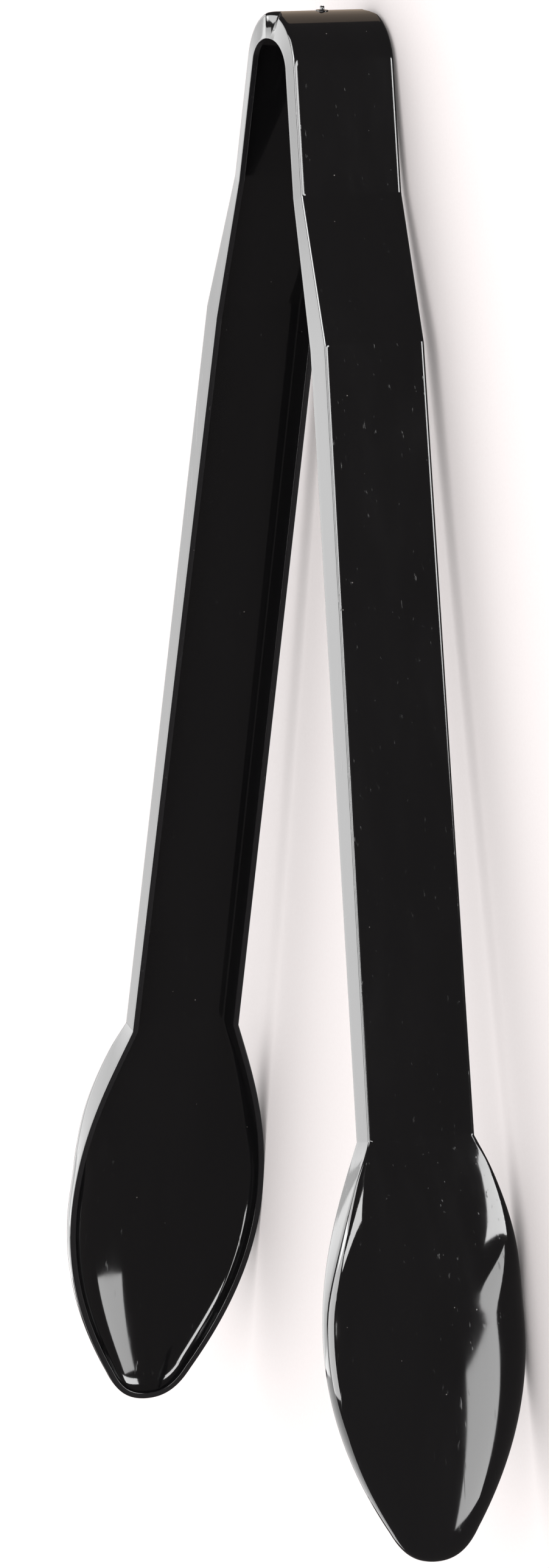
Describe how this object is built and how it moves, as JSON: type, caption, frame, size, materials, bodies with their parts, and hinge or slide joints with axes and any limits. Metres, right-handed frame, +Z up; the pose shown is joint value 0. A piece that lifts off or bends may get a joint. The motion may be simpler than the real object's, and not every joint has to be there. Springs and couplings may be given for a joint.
{
  "type": "serving tongs",
  "caption": "One-piece gloss plastic serving tongs: a flexing crown bow, two channel-section arms and leaf-shaped bowls that close on each other.",
  "frame": {"origin": "on the table, under the middle of the part's box, with the tongs lying on their side edges", "axes": "+X along the tongs towards the crown, arms spread along Y with the left arm on -Y, +Z up across the width of the strap"},
  "size_m": [0.3064, 0.154, 0.044],
  "materials": {
    "black_polystyrene": "gloss moulded polystyrene, near black"
  },
  "bodies": {
    "crown": {"crown_bow": "black_polystyrene"},
    "right_arm": {"right_leg": "black_polystyrene", "right_shoulder": "black_polystyrene", "right_handle": "black_polystyrene", "right_bowl": "black_polystyrene"},
    "left_arm": {"left_leg": "black_polystyrene", "left_shoulder": "black_polystyrene", "left_handle": "black_polystyrene", "left_bowl": "black_polystyrene"}
  },
  "joints": [
    {"name": "right_arm_squeeze", "type": "hinge", "parent": "crown", "child": "right_arm", "pos_m": [0.14244, 0.01112, 0.01175], "axis": [0.0407, 0, 0.9992], "range_deg": [-3, 13.8], "stiffness_Nm_per_rad": 2.5},
    {"name": "left_arm_squeeze", "type": "hinge", "parent": "crown", "child": "left_arm", "pos_m": [0.14244, -0.01112, 0.01175], "axis": [-0.0407, 0, -0.9992], "range_deg": [-3, 13.8], "stiffness_Nm_per_rad": 2.5}
  ],
  "couplings": [
    {"joint": "left_arm_squeeze", "follows": "right_arm_squeeze", "ratio": 1}
  ]
}
